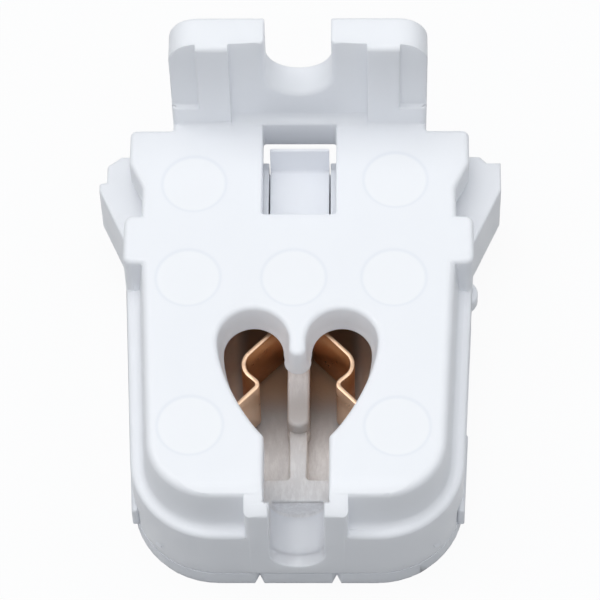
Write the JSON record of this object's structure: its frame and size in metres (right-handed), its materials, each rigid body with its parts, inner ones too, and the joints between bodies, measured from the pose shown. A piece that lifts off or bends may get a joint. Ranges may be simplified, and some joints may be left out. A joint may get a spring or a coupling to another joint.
{
  "type": "fluorescent tube lamp holder",
  "caption": "End holder for a two-pin fluorescent tube: heart-shaped pin opening with an entry slot, bent spring contacts, snap wings and an upright screw flange at the foot.",
  "frame": {"origin": "on the flat back, under the middle of the whole part's box", "axes": "+X across the holder, +Y from the free end where the tube goes in to the foot flange, +Z from the back to the lamp face"},
  "size_m": [0.044, 0.0514, 0.0315],
  "materials": {
    "housing_plastic": "fine satin, moulded white",
    "cover_plastic": "fine satin, moulded white, spark-eroded inside",
    "contact_bronze": "rolled phosphor bronze strip"
  },
  "bodies": {
    "root": {"front_housing": "housing_plastic", "rear_cover": "cover_plastic", "contact_left": "contact_bronze", "contact_right": "contact_bronze"}
  },
  "joints": []
}
